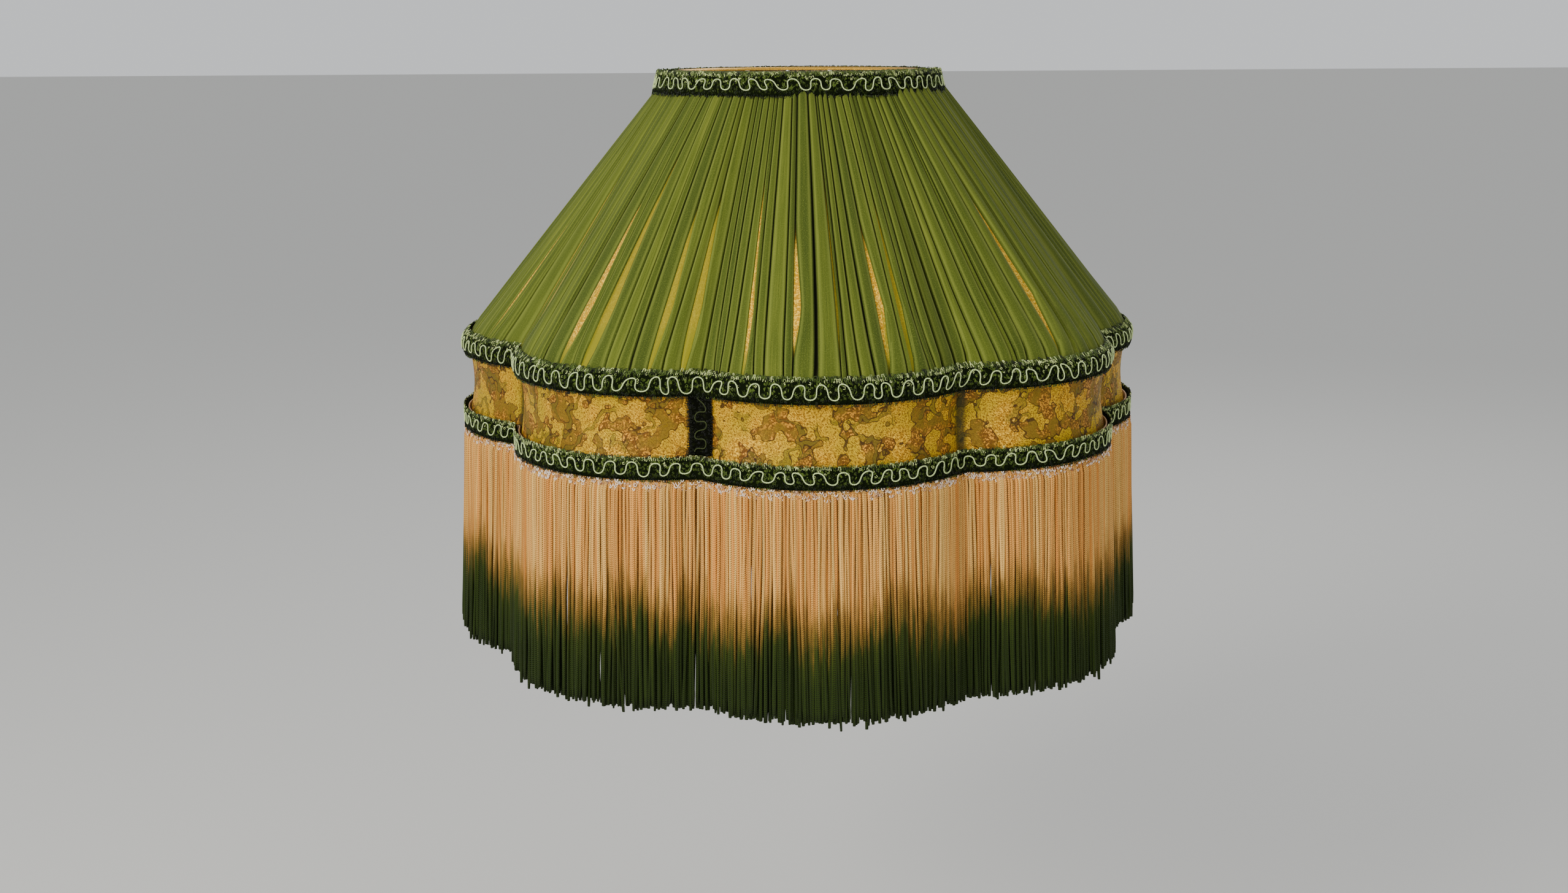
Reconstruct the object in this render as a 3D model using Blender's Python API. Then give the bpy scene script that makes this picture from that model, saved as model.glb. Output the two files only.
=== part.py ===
"""Fringed Victorian lamp shade, in metres, +Z up.

A wire frame carries the shade: a round top ring, two scalloped rings and eight bent ribs,
with a ring fitter that hangs in the top ring on four arms. Over the frame come a gold
lining, a pleated cover, a lace collar, four lengths of gimp braid and a long fringe.
The origin is the centre of the fitter ring, where the lampholder holds the shade.
"""

import math

import bmesh
import bpy
from mathutils import Vector

# Overall shape. Ring radii and heights are those of the wires' centre lines.
LOBES = 8
SEAM_ANGLE = math.radians(-106.7)
TOP_RADIUS = 0.0692
CUSP_RADIUS = 0.1720
SCALLOP_DEPTH = 0.0192
CONE_HEIGHT = 0.1502
COLLAR_HEIGHT = 0.0435
FRINGE_LENGTH = 0.1225
FRINGE_FLARE = 0.0050
FITTER_DROP = 0.0300

# Wires and fitter
WIRE = 0.0030
ARM_WIRE = 0.0028
BEND_LENGTH = 0.0060
FITTER_BORE = 0.0420
FITTER_WIDTH = 0.0080
FITTER_THICKNESS = 0.0020
ARM_REACH = 0.0080
ARMS = 4

# Textiles and trimmings
TAPE_THICKNESS = 0.0005
LINING_THICKNESS = 0.0006
COVER_THICKNESS = 0.0011
COLLAR_THICKNESS = 0.0005
LACE_THICKNESS = 0.0006
COLLAR_WAIST = 0.0030
BRAID_WIDTH = 0.0125
BRAID_THICKNESS = 0.0020
HEADING_WIDTH = 0.0110
HEADING_THICKNESS = 0.0008
SKIRT_THICKNESS = 0.0042
TOP_BRAID_DROP = 0.0035
TOP_BRAID_LEAN = 0.0030
UPPER_BRAID_LEAN = 0.0036
UPPER_BRAID_TUCK = 0.0014
HEM_BELOW_RING = 0.0020

# Room between neighbouring pieces
GAP = 0.0003

# Facets
STEPS_PER_LOBE = 8
WIRE_SIDES = 8
BEND_STEPS = 4

# Places that follow from the sizes above
LOBE_RADIUS = CUSP_RADIUS + SCALLOP_DEPTH
TOP_Z = FITTER_DROP
UPPER_Z = TOP_Z - CONE_HEIGHT
LOWER_Z = UPPER_Z - COLLAR_HEIGHT

# Radial places of the layers, outwards from a ring's centre line. On the cone each layer
# is measured along the ring's radius, where a sloping layer is wider than it is thick.
SLOPE = math.atan2(CONE_HEIGHT, LOBE_RADIUS - TOP_RADIUS)
TAPE_IN = WIRE / 2 + GAP
TAPE_OUT = TAPE_IN + TAPE_THICKNESS
TAPE_CORNERS = (120, 60, 0, -60, -120)
TAPE_CORNER = 1 / math.cos(math.radians(30))
LINING_IN = (TAPE_OUT * TAPE_CORNER + GAP) / math.sin(SLOPE)
LINING_OUT = LINING_IN + LINING_THICKNESS / math.sin(SLOPE)
COVER_IN = LINING_OUT + GAP / math.sin(SLOPE)
COVER_OUT = COVER_IN + COVER_THICKNESS / math.sin(SLOPE)
COLLAR_IN = TAPE_OUT * TAPE_CORNER + GAP
COLLAR_OUT = COLLAR_IN + COLLAR_THICKNESS
LACE_IN = COLLAR_OUT + GAP
LACE_OUT = LACE_IN + LACE_THICKNESS
HEADING_IN = LACE_OUT + GAP
HEADING_OUT = HEADING_IN + HEADING_THICKNESS
BRAID_IN = max(COVER_OUT, HEADING_OUT) + GAP
BRAID_OUT = BRAID_IN + BRAID_THICKNESS


def clear_scene():
    for thing in list(bpy.data.objects):
        bpy.data.objects.remove(thing)


def material(name, colour, roughness, metallic=0.0):
    made = bpy.data.materials.new(name)
    made.use_nodes = True
    shader = made.node_tree.nodes["Principled BSDF"]
    shader.inputs["Base Color"].default_value = (*colour, 1.0)
    shader.inputs["Roughness"].default_value = roughness
    shader.inputs["Metallic"].default_value = metallic
    return made


def round_outline(radius):
    """A circle, as a function from angle to radius."""
    return lambda angle: radius


def scalloped_outline(angle):
    """The radius of a ring of outward arcs that meet in inward cusps."""
    half = math.pi / LOBES
    turn = (angle - SEAM_ANGLE) % (2 * half) - half
    chord_distance = CUSP_RADIUS * math.cos(half)
    arc_centre = (LOBE_RADIUS**2 - CUSP_RADIUS**2) / (2 * (LOBE_RADIUS - chord_distance))
    arc_radius = LOBE_RADIUS - arc_centre
    across = arc_centre * math.sin(turn)
    return arc_centre * math.cos(turn) + math.sqrt(arc_radius**2 - across**2)


def all_round():
    """The angles of a full turn, with a cusp at every eighth of it."""
    count = LOBES * STEPS_PER_LOBE
    return [SEAM_ANGLE + 2 * math.pi * i / count for i in range(count)]


def loft(name, rows, finish, angles=None):
    """One closed solid whose section is the loop of rows, (outline, offset, height), swept
    through the angles. Without angles the section goes all the way round."""
    closed = angles is None
    angles = all_round() if closed else angles
    bm = bmesh.new()
    sections = []
    for angle in angles:
        section = []
        for outline, offset, height in rows:
            radius = outline(angle) + offset
            point = (radius * math.cos(angle), radius * math.sin(angle), height)
            section.append(bm.verts.new(point))
        sections.append(section)
    steps = len(sections) if closed else len(sections) - 1
    for i in range(steps):
        first = sections[i]
        second = sections[(i + 1) % len(sections)]
        for j in range(len(rows)):
            k = (j + 1) % len(rows)
            # Every diagonal runs down from the first section to the second, so that
            # neighbouring layers are faceted alike and keep their gap.
            if rows[j][2] >= rows[k][2]:
                bm.faces.new((first[j], second[j], second[k]))
                bm.faces.new((first[j], second[k], first[k]))
            else:
                bm.faces.new((first[j], second[j], first[k]))
                bm.faces.new((second[j], second[k], first[k]))
    if not closed:
        bm.faces.new(sections[0])
        bm.faces.new(sections[-1])
    bmesh.ops.recalc_face_normals(bm, faces=bm.faces)
    mesh = bpy.data.meshes.new(name)
    bm.to_mesh(mesh)
    bm.free()
    mesh.shade_smooth()
    mesh.set_sharp_from_angle(angle=math.radians(40))
    mesh.materials.append(finish)
    made = bpy.data.objects.new(name, mesh)
    bpy.context.scene.collection.objects.link(made)
    return made


def rounded(corners):
    """The route through the corners, with each inner corner turned into a smooth bend."""
    route = [corners[0]]
    for before, corner, after in zip(corners, corners[1:], corners[2:]):
        start = corner + (before - corner).normalized() * BEND_LENGTH
        end = corner + (after - corner).normalized() * BEND_LENGTH
        for i in range(BEND_STEPS + 1):
            t = i / BEND_STEPS
            route.append(start.lerp(corner, t).lerp(corner.lerp(end, t), t))
    route.append(corners[-1])
    return route


def wire(name, corners, thickness, finish, angle):
    """A bent wire in the vertical plane at the angle, through corners of (radius, height)."""
    out = Vector((math.cos(angle), math.sin(angle), 0.0))
    route = rounded([out * radius + Vector((0, 0, height)) for radius, height in corners])
    curve = bpy.data.curves.new(name, "CURVE")
    curve.dimensions = "3D"
    curve.bevel_depth = thickness / 2
    curve.bevel_resolution = WIRE_SIDES // 2 - 2
    curve.use_fill_caps = True
    curve.materials.append(finish)
    spline = curve.splines.new("POLY")
    spline.points.add(len(route) - 1)
    for point, place in zip(spline.points, route):
        point.co = (*place, 1.0)
    spline.use_smooth = True
    made = bpy.data.objects.new(name, curve)
    bpy.context.scene.collection.objects.link(made)
    return made


def ring_rows(outline, height):
    """The round section of a ring's wire."""
    turns = [2 * math.pi * (i + 0.5) / WIRE_SIDES for i in range(WIRE_SIDES)]
    reach = WIRE / 2
    return [(outline, reach * math.cos(t), height + reach * math.sin(t)) for t in turns]


def tape_rows(outline, height):
    """A C-shaped section round a ring's wire, open on the side where the ribs meet it."""
    rows = []
    for reach, corners in ((TAPE_OUT, TAPE_CORNERS), (TAPE_IN, TAPE_CORNERS[::-1])):
        for corner in corners:
            turn = math.radians(corner)
            across = reach * TAPE_CORNER * math.cos(turn)
            up = reach * TAPE_CORNER * math.sin(turn)
            rows.append((outline, across, height + up))
    return rows


def band_rows(outline, inner, outer, bottom, top, waist=0.0):
    """An upright band, drawn in by waist half way up."""
    middle = (bottom + top) / 2
    rows = [(outline, outer, top), (outline, outer - waist, middle), (outline, outer, bottom)]
    rows += [(outline, inner, bottom), (outline, inner - waist, middle), (outline, inner, top)]
    return rows if waist else [row for row in rows if row[2] != middle]


def cone_rows(inner, outer, top, bottom):
    """A layer that runs straight from the round top ring to the scalloped upper ring."""
    ring = round_outline(TOP_RADIUS)
    return [
        (ring, outer, top),
        (scalloped_outline, outer, bottom),
        (scalloped_outline, inner, bottom),
        (ring, inner, top),
    ]


def make_frame():
    steel = material("coated_steel", (0.62, 0.60, 0.55), 0.42, 0.35)
    top = round_outline(TOP_RADIUS)
    loft("top_ring", ring_rows(top, TOP_Z), steel)
    loft("upper_ring", ring_rows(scalloped_outline, UPPER_Z), steel)
    loft("lower_ring", ring_rows(scalloped_outline, LOWER_Z), steel)
    inside = WIRE + GAP
    for i in range(LOBES):
        angle = SEAM_ANGLE + 2 * math.pi * i / LOBES
        corners = [
            (TOP_RADIUS - inside, TOP_Z + WIRE / 2),
            (TOP_RADIUS - inside, TOP_Z - 2 * WIRE),
            (CUSP_RADIUS - inside, UPPER_Z),
            (CUSP_RADIUS - inside, LOWER_Z - WIRE / 2),
        ]
        wire(f"rib_{i + 1}", corners, WIRE, steel, angle)


def make_fitter():
    steel = material("fitter_steel", (0.60, 0.58, 0.54), 0.38, 0.6)
    bore = round_outline(FITTER_BORE / 2)
    half = FITTER_THICKNESS / 2
    loft("fitter_ring", band_rows(bore, 0.0, FITTER_WIDTH, -half, half), steel)
    rim = FITTER_BORE / 2 + FITTER_WIDTH + GAP
    hang = TOP_RADIUS - WIRE / 2 - GAP - ARM_WIRE / 2
    for i in range(ARMS):
        angle = SEAM_ANGLE + math.pi / LOBES + 2 * math.pi * i / ARMS
        corners = [
            (rim, 0.0),
            (rim + ARM_REACH, 0.0),
            (hang, TOP_Z - 2 * WIRE),
            (hang, TOP_Z + WIRE / 2),
        ]
        wire(f"fitter_arm_{i + 1}", corners, ARM_WIRE, steel, angle)


def make_bindings():
    tape = material("cotton_tape", (0.66, 0.58, 0.40), 0.9)
    top = round_outline(TOP_RADIUS)
    loft("top_ring_tape", tape_rows(top, TOP_Z), tape)
    loft("upper_ring_tape", tape_rows(scalloped_outline, UPPER_Z), tape)
    loft("lower_ring_tape", tape_rows(scalloped_outline, LOWER_Z), tape)


def make_covers():
    gold = material("gold_cloth", (0.62, 0.45, 0.07), 0.35, 0.5)
    chiffon = material("moss_chiffon", (0.16, 0.22, 0.035), 0.75)
    lace = material("black_lace", (0.30, 0.22, 0.05), 0.7)
    loft("gold_lining", cone_rows(LINING_IN, LINING_OUT, TOP_Z, UPPER_Z + GAP), gold)
    loft("pleated_cover", cone_rows(COVER_IN, COVER_OUT, TOP_Z, UPPER_Z + GAP), chiffon)
    hem = LOWER_Z - HEM_BELOW_RING
    collar = band_rows(scalloped_outline, COLLAR_IN, COLLAR_OUT, hem, UPPER_Z, COLLAR_WAIST)
    loft("collar_lining", collar, gold)
    over = band_rows(scalloped_outline, LACE_IN, LACE_OUT, hem, UPPER_Z, COLLAR_WAIST)
    loft("lace_collar", over, lace)


def make_braids():
    gimp = material("green_gimp", (0.05, 0.10, 0.02), 0.6)
    dark = material("black_gimp", (0.015, 0.02, 0.008), 0.6)
    half = BRAID_WIDTH / 2
    top = round_outline(TOP_RADIUS)
    middle = TOP_Z - TOP_BRAID_DROP
    # The top braid's lower edge rests on the cover where the cone is widest behind it.
    spread = (LOBE_RADIUS - TOP_RADIUS) * (half + TOP_BRAID_DROP) / CONE_HEIGHT
    inner = COVER_OUT + spread + GAP
    rows = [
        (top, inner + BRAID_THICKNESS - TOP_BRAID_LEAN, middle + half),
        (top, inner + BRAID_THICKNESS, middle - half),
        (top, inner, middle - half),
        (top, inner - TOP_BRAID_LEAN, middle + half),
    ]
    loft("top_braid", rows, gimp)
    # The upper braid bends over the edge, on to the cone above and on to the collar below.
    bend = (
        (UPPER_Z + half, UPPER_BRAID_LEAN),
        (UPPER_Z, 0.0),
        (UPPER_Z - half, UPPER_BRAID_TUCK),
    )
    rows = [(scalloped_outline, BRAID_OUT - inward, height) for height, inward in bend]
    rows += [(scalloped_outline, BRAID_IN - inward, height) for height, inward in bend[::-1]]
    loft("upper_braid", rows, gimp)
    span = (LOWER_Z - half, LOWER_Z + half)
    loft("lower_braid", band_rows(scalloped_outline, BRAID_IN, BRAID_OUT, *span), gimp)
    bottom = LOWER_Z + half + GAP
    top_edge = UPPER_Z - half - GAP
    reach = half / CUSP_RADIUS
    inner = LACE_OUT + GAP
    strip = band_rows(
        scalloped_outline, inner, inner + BRAID_THICKNESS, bottom, top_edge, COLLAR_WAIST
    )
    across = [SEAM_ANGLE - reach, SEAM_ANGLE, SEAM_ANGLE + reach]
    loft("seam_braid", strip, dark, across)


def make_fringe():
    cream = material("fringe_heading", (0.60, 0.45, 0.28), 0.8)
    silk = material("peach_fringe", (0.75, 0.42, 0.20), 0.6)
    bottom = LOWER_Z - BRAID_WIDTH / 2
    heading = (bottom, bottom + HEADING_WIDTH)
    rows = band_rows(scalloped_outline, HEADING_IN, HEADING_OUT, *heading)
    loft("fringe_heading", rows, cream)
    outer = BRAID_OUT - GAP
    inner = outer - SKIRT_THICKNESS
    top = bottom - GAP
    end = bottom - FRINGE_LENGTH
    skirt = [
        (scalloped_outline, outer, top),
        (scalloped_outline, outer + FRINGE_FLARE, end),
        (scalloped_outline, inner + FRINGE_FLARE, end),
        (scalloped_outline, inner, top),
    ]
    loft("fringe_skirt", skirt, silk)


clear_scene()
make_frame()
make_fitter()
make_bindings()
make_covers()
make_braids()
make_fringe()
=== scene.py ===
import math

import bpy
import numpy as np
from mathutils import Matrix, Vector


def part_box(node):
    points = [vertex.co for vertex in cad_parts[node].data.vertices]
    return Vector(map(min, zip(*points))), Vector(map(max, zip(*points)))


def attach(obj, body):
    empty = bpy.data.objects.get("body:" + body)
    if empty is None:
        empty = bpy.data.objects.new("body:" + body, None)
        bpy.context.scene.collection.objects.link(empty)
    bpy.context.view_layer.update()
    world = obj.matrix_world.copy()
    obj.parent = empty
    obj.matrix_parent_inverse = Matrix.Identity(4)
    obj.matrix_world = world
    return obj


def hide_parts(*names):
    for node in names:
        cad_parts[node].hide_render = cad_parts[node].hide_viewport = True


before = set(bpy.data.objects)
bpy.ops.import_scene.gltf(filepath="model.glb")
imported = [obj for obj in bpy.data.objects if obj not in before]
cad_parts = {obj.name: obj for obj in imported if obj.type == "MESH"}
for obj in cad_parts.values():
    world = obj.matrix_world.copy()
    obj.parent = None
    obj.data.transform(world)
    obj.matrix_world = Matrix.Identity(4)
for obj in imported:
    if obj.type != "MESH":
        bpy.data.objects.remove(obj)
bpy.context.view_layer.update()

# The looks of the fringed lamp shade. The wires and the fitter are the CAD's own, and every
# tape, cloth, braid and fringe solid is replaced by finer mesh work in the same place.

MM = 0.001
TURN = 2 * math.pi
EDGE_BAND = 0.2 * MM  # a point this near to an edge's height is on the edge

# Cloth. Columns are counted per scallop, and folds over the top ring are in degrees.
CLOTH = 0.25 * MM
LAYER_GAP = 0.3 * MM
RING_GAP = 0.5 * MM  # how far above the upper ring's line the cone's cloth ends
CUSP_ROUNDING = 1.8 * MM
OUTLINE_SAMPLES = 2880
PUCKER = 0.22 * MM
LINING_COLUMNS = 90
LINING_ROWS = 16
LINING_FOLD = (150, 110, 70, 35)
LINING_FOLD_STEP = 2.0 * MM
COLLAR_COLUMNS = 72
COLLAR_ROWS = 20
COLLAR_WAIST = 3.0 * MM
RIB_SHADOW = 4.2 * MM
RIB_SHADOW_EDGE = 2.4 * MM

# Pleats. A pleat's columns run over its valley, up one side, over its face and down the
# other side. Rise, level and face are shares of a side's width, the height and the face.
PLEATS = 150
PLEAT_HEIGHT = 3.5 * MM
PLEAT_BASE = 0.2 * MM
PLEAT_ROWS = 34
PLEAT_BACK_ROWS = (33, 32, 29, 23, 15, 7, 0)
PLEAT_FOLD = (75, 35)
PLEAT_FOLD_STEP = 2.5 * MM
PLEAT_RISE = (0.3, 0.62, 1.0)
PLEAT_LEVEL = (0.4, 0.8, 0.96)
PLEAT_FACE = (0.08, 0.28, 0.5, 0.72, 0.92)
VALLEY_COLUMNS = 3
FACE_FIRST = VALLEY_COLUMNS + len(PLEAT_RISE)
FACE_LAST = FACE_FIRST + len(PLEAT_FACE) - 1
PLEAT_COLUMNS = FACE_LAST + 1 + len(PLEAT_RISE)
OPEN_IN_FRONT = 0.42  # the share of valleys that open, in front and elsewhere
OPEN_ELSEWHERE = 0.1
VEILED_IN_FRONT = 0.3  # the share of open valleys with cloth across them
VEILED_ELSEWHERE = 0.75
VEIL = 0.75

# Ring binding
BINDING_PITCH = 5.5 * MM
BINDING_STEP = 0.3 * MM
BINDING_TURN_STEPS = 8
BINDING_SIDES = 10

# Gimp braid. The ground's section is in shares of half its width and of its thickness.
GROUND = 1.0 * MM
GROUND_STEP = 1.6 * MM
GROUND_INSET = 0.4 * MM
GROUND_ACROSS = (-1, -0.98, -0.7, -0.35, 0, 0.35, 0.7, 0.98, 1, 0.98, 0, -0.98)
GROUND_HEIGHT = (0.5, 0.95, 1.1, 1.05, 1.1, 1.05, 1.1, 0.95, 0.5, 0.05, 0.0, 0.05)
WAVE_PITCH = 11.4 * MM
WAVE_HEIGHT = 6.6 * MM
WAVE_CORD = 0.7 * MM
WAVE_POINTS = 18
WAVE_SIDES = 6
HANGING_WAVES = 0.09
LOOP_CORD = 0.42 * MM
LOOP_SPACING = 0.95 * MM
LOOP_ROW = 0.9 * MM
LOOP_SCATTER = 0.25 * MM
LOOP_POINTS = 4
LOOP_SIDES = 4
CURLS_PER_MM = 2.8
YARN_TWIST = 0.9 * MM

# Fringe. A layer has its name, its distance outside the ring's line, a seed, how loose and
# how full its strands are, and the CAD nodes that it replaces.
FRINGE_LAYERS = (
    ("fringe_outer", 7.6 * MM, 31, 1.0, 1.0, ["fringe_skirt"]),
    ("fringe_middle", 6.3 * MM, 32, 0.4, 1.0, []),
    ("fringe_inner", 5.0 * MM, 33, 0.4, 1.25, []),
)
STRAND_PITCH = 1.75 * MM
STRAND_WIDTH = 2.15 * MM
STRAND_DEPTH = 1.5 * MM
STRAND_ROWS = 19
STRAND_SIDES = 6
STRAND_MARGIN = 1.5 * MM  # how far above the skirt's end the mean strand ends
STRAND_UNEVEN = 1.2 * MM
STRAND_ROOT = 0.8 * MM  # how far outside the heading a strand starts
STRAY_STRANDS = 0.03
KNIT_PITCH = 1.15 * MM
HEADING_COLUMNS = 60
HEADING_ROWS = 6
HEADING_TAPE = 0.7 * MM
HEADING_CORD = 0.55 * MM
HEADING_LOOPS_PER_MM = 1.8
TAPE_PICK = 1.1 * MM
TAPE_END = 0.8 * MM

# Random seeds
LINING_SEED = 11
COVER_SEED = 3
BRAID_SEED = 100
HEADING_SEED = 21

# Camera, in the row frame
CAMERA_PLACE = Vector((0.0, -1.132, 0.0568))
CAMERA_YAW = math.radians(-0.5)
CAMERA_PITCH = math.radians(12.3)
CAMERA_ROLL = math.radians(-0.35)
CAMERA_LENS = 44.1
CAMERA_NEAR = 0.05
CAMERA_FAR = 30

# Studio. Each light has a name, its place, its disk's size, its watts and its colour.
LIGHTS = (
    ("key", (-1.15, -1.4, 0.65), 0.7, 41, (1.0, 0.98, 0.93)),
    ("fill", (0.9, -1.5, -0.2), 1.2, 10, (1.0, 0.97, 0.94)),
    ("back", (0.6, 1.6, 1.2), 1.2, 14, (1.0, 1.0, 1.0)),
)
LIGHT_TARGET = Vector((0, 0, -0.12))
WORLD_COLOUR = (0.86, 0.88, 0.9, 1)
WORLD_STRENGTH = 0.85
FLOOR_Z = -0.62
FLOOR_REACH = 30.0


# ---------------- places, from the frame


def radii(node, top=True):
    """The smallest and the largest radius of a CAD node's top or bottom edge."""
    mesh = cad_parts[node].data
    points = np.empty(len(mesh.vertices) * 3)
    mesh.vertices.foreach_get("co", points)
    points = points.reshape(-1, 3)
    edge = points[:, 2].max() if top else points[:, 2].min()
    at_edge = points[np.abs(points[:, 2] - edge) < EDGE_BAND]
    radius = np.hypot(at_edge[:, 0], at_edge[:, 1])
    return radius.min(), radius.max()


def middle(node):
    """The middle of a CAD node's box."""
    low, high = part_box(node)
    return (low + high) / 2


def ring_line(node):
    """The smallest and largest radius of a ring's centre line."""
    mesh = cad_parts[node].data
    radius = [math.hypot(v.co.x, v.co.y) for v in mesh.vertices]
    low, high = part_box(node)
    reach = (high.z - low.z) / 2
    return min(radius) + reach, max(radius) - reach


LOBES = sum(name.startswith("rib_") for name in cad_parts)
SEAM_ANGLE = math.atan2(middle("rib_1").y, middle("rib_1").x)
TOP_Z = middle("top_ring").z
UPPER_Z = middle("upper_ring").z
LOWER_Z = middle("lower_ring").z
TOP_RADIUS = ring_line("top_ring")[1]
CUSP_RADIUS, LOBE_RADIUS = ring_line("upper_ring")


def inside(node, top=True):
    """How far a layer's inner face stands outside the scalloped ring's line."""
    return radii(node, top)[0] - CUSP_RADIUS


def outside(node, top=True):
    """How far a layer's outer face stands outside the scalloped ring's line."""
    return radii(node, top)[1] - LOBE_RADIUS


LINING_OUT = outside("gold_lining", top=False)
COVER_IN = inside("pleated_cover", top=False)
COLLAR_OUT = outside("collar_lining")
LACE_OUT = outside("lace_collar")
HEADING_OUT = outside("fringe_heading")
BRAID_IN = inside("lower_braid")
BRAID_LOW, BRAID_HIGH = (corner.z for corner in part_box("lower_braid"))
BRAID_WIDTH = BRAID_HIGH - BRAID_LOW
HEM_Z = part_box("lace_collar")[0].z
FRINGE_TOP, FRINGE_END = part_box("fringe_skirt")[1].z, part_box("fringe_skirt")[0].z
FRINGE_LENGTH = FRINGE_TOP - FRINGE_END
FRINGE_FLARE = radii("fringe_skirt", top=False)[1] - radii("fringe_skirt")[1]
CONE_HEIGHT = TOP_Z - UPPER_Z
CONE_SPREAD = LOBE_RADIUS - TOP_RADIUS
CONE_SLANT = math.hypot(CONE_HEIGHT, CONE_SPREAD)
CONE_END = 1 - RING_GAP / CONE_HEIGHT


def rounded_outline():
    """The scalloped ring's radius at even angles from the seam, with the cusps rounded off,
    as cloth rounds them."""
    half = math.pi / LOBES
    chord = CUSP_RADIUS * math.cos(half)
    centre = (LOBE_RADIUS**2 - CUSP_RADIUS**2) / (2 * (LOBE_RADIUS - chord))
    turn = np.arange(OUTLINE_SAMPLES) * TURN / OUTLINE_SAMPLES % (2 * half) - half
    arc = np.sqrt((LOBE_RADIUS - centre) ** 2 - (centre * np.sin(turn)) ** 2)
    radius = centre * np.cos(turn) + arc
    spread = CUSP_ROUNDING / CUSP_RADIUS * OUTLINE_SAMPLES / TURN
    wave = np.fft.rfftfreq(OUTLINE_SAMPLES)
    return np.fft.irfft(np.fft.rfft(radius) * np.exp(-2 * (math.pi * spread * wave) ** 2))


OUTLINE = rounded_outline()
OUTLINE_ANGLES = np.arange(OUTLINE_SAMPLES) * TURN / OUTLINE_SAMPLES


def scallop(angle):
    """The scalloped ring's radius at an angle."""
    return np.interp((angle - SEAM_ANGLE) % TURN, OUTLINE_ANGLES, OUTLINE, period=TURN)


def circle(radius):
    """The outline of a round ring."""
    return lambda angle: np.full(np.shape(angle), radius)


def along(outline, offset):
    """Angles and distances along an outline: (a function from distance to angle, length)."""
    angles = SEAM_ANGLE + np.append(OUTLINE_ANGLES, TURN)
    radius = outline(angles) + offset
    x, y = radius * np.cos(angles), radius * np.sin(angles)
    run = np.append(0, np.cumsum(np.hypot(np.diff(x), np.diff(y))))
    length = run[-1]

    def angle_at(distance):
        laps = np.floor(distance / length)
        return np.interp(distance - laps * length, run, angles) + laps * TURN

    return angle_at, length


def unit(value):
    """A value kept between 0 and 1."""
    return np.clip(value, 0, 1)


def columns_round(count, length):
    """Angles of even columns round from the seam, and how far round each lies on a line of
    that length, its end included."""
    share = np.arange(count + 1)[:, None] / count
    return SEAM_ANGLE + share[:-1] * TURN, share * length


def polar(radius, angle, height):
    """Places given by radius, angle and height."""
    radius, angle, height = np.broadcast_arrays(radius, angle, height)
    return np.stack([radius * np.cos(angle), radius * np.sin(angle), height], axis=-1)


# ---------------- mesh work


def quad_corners(rows, columns):
    """The row and column of each corner of a grid's quads."""
    i, j = np.meshgrid(np.arange(rows), np.arange(columns), indexing="ij")
    corners = np.array([(i, j), (i, j + 1), (i + 1, j + 1), (i + 1, j)])
    return corners.transpose(2, 3, 0, 1).reshape(-1, 4, 2)


def cap_corners(sides):
    """Quads that close a section with an even number of sides."""
    half = np.arange(sides // 2 - 1)
    return np.stack([half, half + 1, sides - 2 - half, sides - 1 - half], -1)


def lattice(points, wrap=False, ring=False):
    """Quads over points[i, j], and each corner's own i and j. Wrap joins the last i to the
    first, and ring the last j to the first."""
    n, m = points.shape[:2]
    corners = quad_corners(n if wrap else n - 1, m if ring else m - 1)
    return corners[..., 0] % n * m + corners[..., 1] % m, corners


def sheet_part(points, u, v, wrap=False, ring=False, marks=None):
    """A lattice as one part of a piece. u and v are its places in the cloth, in metres, one
    longer than the points where it wraps or rings. Marks are values at its points."""
    faces, corners = lattice(points, wrap, ring)
    u, v = np.broadcast_arrays(u, v)
    uv = np.stack([u[corners[..., 0], corners[..., 1]], v[corners[..., 0], corners[..., 1]]], -1)
    marks = {k: np.broadcast_to(a, points.shape[:2]).ravel() for k, a in (marks or {}).items()}
    return points.reshape(-1, 3), faces, uv, marks


def tubes(lines, across, out, sides, run, marks):
    """Many capped tubes at once. lines[tube, point] are their centre lines, across and out
    the half axes of each section, run the distance of each point along its tube, and marks
    values of each tube."""
    count, steps = lines.shape[:2]
    turn = TURN * (np.arange(sides) + 0.5) / sides
    points = lines[:, :, None] + np.cos(turn)[:, None] * across[:, :, None]
    points = points + np.sin(turn)[:, None] * out[:, :, None]
    cap = cap_corners(sides)
    first = np.stack([np.zeros_like(cap), cap[:, ::-1]], -1)
    last = np.stack([np.full_like(cap, steps - 1), cap], -1)
    corners = np.concatenate([quad_corners(steps - 1, sides), first, last])
    faces = corners[..., 0] * sides + corners[..., 1] % sides
    faces = faces + np.arange(count)[:, None, None] * steps * sides
    run = np.broadcast_to(run, (count, steps))
    u = np.broadcast_to(corners[..., 1] / sides, faces.shape)
    uv = np.stack([u, run[:, corners[..., 0]]], -1)
    marks = {k: np.repeat(a, steps * sides) for k, a in marks.items()}
    return points.reshape(-1, 3), faces.reshape(-1, 4), uv.reshape(-1, 4, 2), marks


def add_object(name, data):
    made = bpy.data.objects.new(name, data)
    bpy.context.scene.collection.objects.link(made)
    return made


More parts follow.
